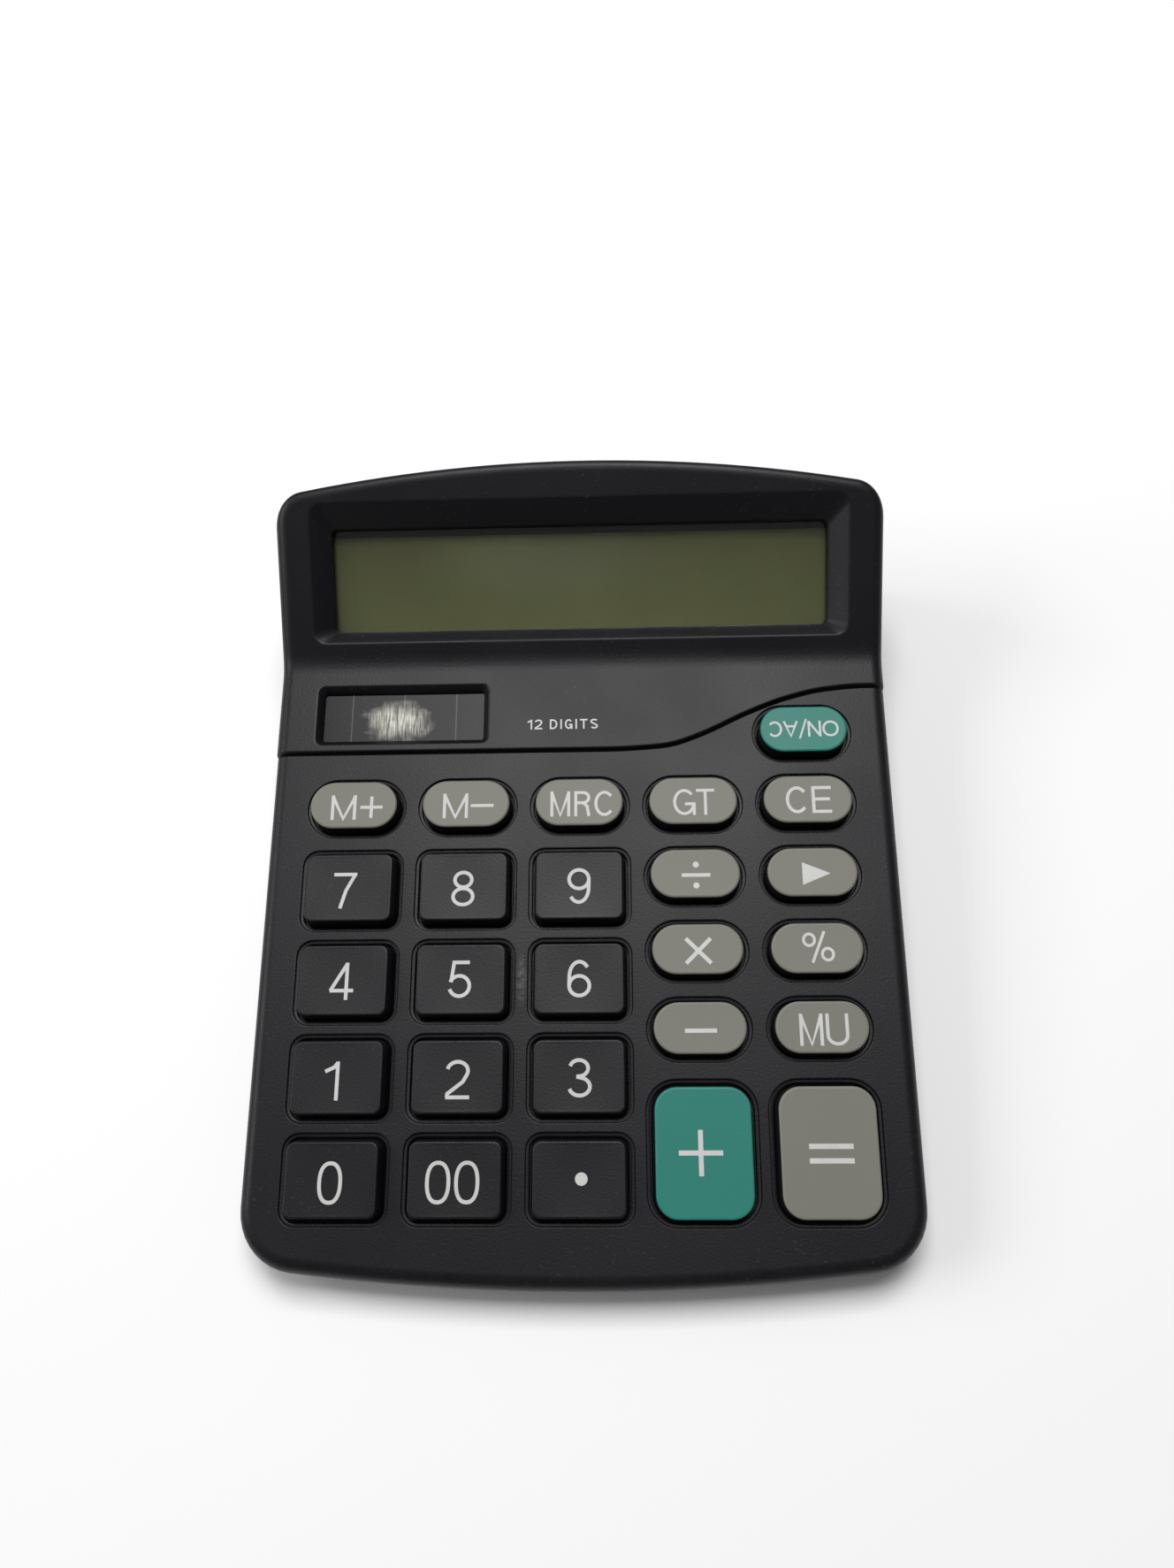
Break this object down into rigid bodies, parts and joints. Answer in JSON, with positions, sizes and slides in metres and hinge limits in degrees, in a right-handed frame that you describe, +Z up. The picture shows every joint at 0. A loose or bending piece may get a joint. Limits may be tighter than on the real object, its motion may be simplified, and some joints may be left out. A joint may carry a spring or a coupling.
{
  "type": "desk calculator",
  "caption": "Desk calculator with a raised, tilted display head, a solar cell, sprung keys with printed legends and a sliding battery cover.",
  "frame": {"origin": "on the table under the middle of the body", "axes": "+X to the user's right, +Y to the rear, +Z up"},
  "size_m": [0.1178, 0.1472, 0.0393],
  "materials": {
    "case": "fine matt texture",
    "number_keys": "satin",
    "grey_keys": "satin",
    "teal_keys": "satin",
    "window": "gloss",
    "lcd": "gloss",
    "solar": "gloss",
    "film": "satin",
    "board": "matt",
    "resin": "gloss",
    "silicone": "matt",
    "cell": "gloss",
    "steel": "satin",
    "wire_red": "satin",
    "wire_black": "satin",
    "rubber": "matt"
  },
  "bodies": {
    "case": {"upper_case": "case", "lower_case": "case", "display_window": "window", "lcd_glass": "lcd", "lcd_holder": "case", "lcd_ribbon": "film", "solar_cell": "solar", "main_board": "board", "chip_blob": "resin", "key_mat": "silicone", "aa_cell": "cell", "contact_positive": "steel", "contact_negative": "steel", "wire_battery_positive": "wire_red", "wire_solar_positive": "wire_red", "wire_battery_negative": "wire_black", "wire_solar_negative": "wire_black", "foot_front_left": "rubber", "foot_front_right": "rubber", "foot_rear_left": "rubber", "foot_rear_right": "rubber", "case_screw_front_left": "steel", "case_screw_front_right": "steel", "case_screw_middle_left": "steel", "case_screw_middle_right": "steel", "case_screw_rear_left": "steel", "case_screw_rear_right": "steel", "board_screw_front_left": "steel", "board_screw_front_right": "steel", "board_screw_rear_left": "steel", "board_screw_rear_right": "steel", "holder_screw_left": "steel", "holder_screw_right": "steel"},
    "key_on_clear": {"key_on_clear": "teal_keys"},
    "key_memory_add": {"key_memory_add": "grey_keys"},
    "key_memory_subtract": {"key_memory_subtract": "grey_keys"},
    "key_plus": {"key_plus": "teal_keys"},
    "key_equals": {"key_equals": "grey_keys"},
    "key_7": {"key_7": "number_keys"},
    "key_8": {"key_8": "number_keys"},
    "key_9": {"key_9": "number_keys"},
    "key_4": {"key_4": "number_keys"},
    "key_5": {"key_5": "number_keys"},
    "key_6": {"key_6": "number_keys"},
    "key_1": {"key_1": "number_keys"},
    "key_2": {"key_2": "number_keys"},
    "key_3": {"key_3": "number_keys"},
    "key_0": {"key_0": "number_keys"},
    "key_00": {"key_00": "number_keys"},
    "key_point": {"key_point": "number_keys"},
    "key_memory_recall": {"key_memory_recall": "grey_keys"},
    "key_grand_total": {"key_grand_total": "grey_keys"},
    "key_clear_entry": {"key_clear_entry": "grey_keys"},
    "key_divide": {"key_divide": "grey_keys"},
    "key_backspace": {"key_backspace": "grey_keys"},
    "key_multiply": {"key_multiply": "grey_keys"},
    "key_percent": {"key_percent": "grey_keys"},
    "key_minus": {"key_minus": "grey_keys"},
    "key_markup": {"key_markup": "grey_keys"},
    "battery_cover": {"battery_cover": "case"}
  },
  "joints": [
    {"name": "key_on_clear_press", "type": "slide", "parent": "case", "child": "key_on_clear", "axis": [0, 0.0785, -0.9969], "range_m": [0, 0.0012], "stiffness_N_per_m": 400, "springref_m": -0.0003, "deforming": ["key_mat"]},
    {"name": "key_memory_add_press", "type": "slide", "parent": "case", "child": "key_memory_add", "axis": [0, 0.0785, -0.9969], "range_m": [0, 0.0012], "stiffness_N_per_m": 400, "springref_m": -0.0003, "deforming": ["key_mat"]},
    {"name": "key_memory_subtract_press", "type": "slide", "parent": "case", "child": "key_memory_subtract", "axis": [0, 0.0785, -0.9969], "range_m": [0, 0.0012], "stiffness_N_per_m": 400, "springref_m": -0.0003, "deforming": ["key_mat"]},
    {"name": "key_plus_press", "type": "slide", "parent": "case", "child": "key_plus", "axis": [0, 0.0785, -0.9969], "range_m": [0, 0.0012], "stiffness_N_per_m": 400, "springref_m": -0.0003, "deforming": ["key_mat"]},
    {"name": "key_equals_press", "type": "slide", "parent": "case", "child": "key_equals", "axis": [0, 0.0785, -0.9969], "range_m": [0, 0.0012], "stiffness_N_per_m": 400, "springref_m": -0.0003, "deforming": ["key_mat"]},
    {"name": "key_7_press", "type": "slide", "parent": "case", "child": "key_7", "axis": [0, 0.0785, -0.9969], "range_m": [0, 0.0012], "stiffness_N_per_m": 400, "springref_m": -0.0003, "deforming": ["key_mat"]},
    {"name": "key_8_press", "type": "slide", "parent": "case", "child": "key_8", "axis": [0, 0.0785, -0.9969], "range_m": [0, 0.0012], "stiffness_N_per_m": 400, "springref_m": -0.0003, "deforming": ["key_mat"]},
    {"name": "key_9_press", "type": "slide", "parent": "case", "child": "key_9", "axis": [0, 0.0785, -0.9969], "range_m": [0, 0.0012], "stiffness_N_per_m": 400, "springref_m": -0.0003, "deforming": ["key_mat"]},
    {"name": "key_4_press", "type": "slide", "parent": "case", "child": "key_4", "axis": [0, 0.0785, -0.9969], "range_m": [0, 0.0012], "stiffness_N_per_m": 400, "springref_m": -0.0003, "deforming": ["key_mat"]},
    {"name": "key_5_press", "type": "slide", "parent": "case", "child": "key_5", "axis": [0, 0.0785, -0.9969], "range_m": [0, 0.0012], "stiffness_N_per_m": 400, "springref_m": -0.0003, "deforming": ["key_mat"]},
    {"name": "key_6_press", "type": "slide", "parent": "case", "child": "key_6", "axis": [0, 0.0785, -0.9969], "range_m": [0, 0.0012], "stiffness_N_per_m": 400, "springref_m": -0.0003, "deforming": ["key_mat"]},
    {"name": "key_1_press", "type": "slide", "parent": "case", "child": "key_1", "axis": [0, 0.0785, -0.9969], "range_m": [0, 0.0012], "stiffness_N_per_m": 400, "springref_m": -0.0003, "deforming": ["key_mat"]},
    {"name": "key_2_press", "type": "slide", "parent": "case", "child": "key_2", "axis": [0, 0.0785, -0.9969], "range_m": [0, 0.0012], "stiffness_N_per_m": 400, "springref_m": -0.0003, "deforming": ["key_mat"]},
    {"name": "key_3_press", "type": "slide", "parent": "case", "child": "key_3", "axis": [0, 0.0785, -0.9969], "range_m": [0, 0.0012], "stiffness_N_per_m": 400, "springref_m": -0.0003, "deforming": ["key_mat"]},
    {"name": "key_0_press", "type": "slide", "parent": "case", "child": "key_0", "axis": [0, 0.0785, -0.9969], "range_m": [0, 0.0012], "stiffness_N_per_m": 400, "springref_m": -0.0003, "deforming": ["key_mat"]},
    {"name": "key_00_press", "type": "slide", "parent": "case", "child": "key_00", "axis": [0, 0.0785, -0.9969], "range_m": [0, 0.0012], "stiffness_N_per_m": 400, "springref_m": -0.0003, "deforming": ["key_mat"]},
    {"name": "key_point_press", "type": "slide", "parent": "case", "child": "key_point", "axis": [0, 0.0785, -0.9969], "range_m": [0, 0.0012], "stiffness_N_per_m": 400, "springref_m": -0.0003, "deforming": ["key_mat"]},
    {"name": "key_memory_recall_press", "type": "slide", "parent": "case", "child": "key_memory_recall", "axis": [0, 0.0785, -0.9969], "range_m": [0, 0.0012], "stiffness_N_per_m": 400, "springref_m": -0.0003, "deforming": ["key_mat"]},
    {"name": "key_grand_total_press", "type": "slide", "parent": "case", "child": "key_grand_total", "axis": [0, 0.0785, -0.9969], "range_m": [0, 0.0012], "stiffness_N_per_m": 400, "springref_m": -0.0003, "deforming": ["key_mat"]},
    {"name": "key_clear_entry_press", "type": "slide", "parent": "case", "child": "key_clear_entry", "axis": [0, 0.0785, -0.9969], "range_m": [0, 0.0012], "stiffness_N_per_m": 400, "springref_m": -0.0003, "deforming": ["key_mat"]},
    {"name": "key_divide_press", "type": "slide", "parent": "case", "child": "key_divide", "axis": [0, 0.0785, -0.9969], "range_m": [0, 0.0012], "stiffness_N_per_m": 400, "springref_m": -0.0003, "deforming": ["key_mat"]},
    {"name": "key_backspace_press", "type": "slide", "parent": "case", "child": "key_backspace", "axis": [0, 0.0785, -0.9969], "range_m": [0, 0.0012], "stiffness_N_per_m": 400, "springref_m": -0.0003, "deforming": ["key_mat"]},
    {"name": "key_multiply_press", "type": "slide", "parent": "case", "child": "key_multiply", "axis": [0, 0.0785, -0.9969], "range_m": [0, 0.0012], "stiffness_N_per_m": 400, "springref_m": -0.0003, "deforming": ["key_mat"]},
    {"name": "key_percent_press", "type": "slide", "parent": "case", "child": "key_percent", "axis": [0, 0.0785, -0.9969], "range_m": [0, 0.0012], "stiffness_N_per_m": 400, "springref_m": -0.0003, "deforming": ["key_mat"]},
    {"name": "key_minus_press", "type": "slide", "parent": "case", "child": "key_minus", "axis": [0, 0.0785, -0.9969], "range_m": [0, 0.0012], "stiffness_N_per_m": 400, "springref_m": -0.0003, "deforming": ["key_mat"]},
    {"name": "key_markup_press", "type": "slide", "parent": "case", "child": "key_markup", "axis": [0, 0.0785, -0.9969], "range_m": [0, 0.0012], "stiffness_N_per_m": 400, "springref_m": -0.0003, "deforming": ["key_mat"]},
    {"name": "battery_cover_slide", "type": "slide", "parent": "case", "child": "battery_cover", "axis": [0, 1, 0], "range_m": [0, 0.03]}
  ]
}
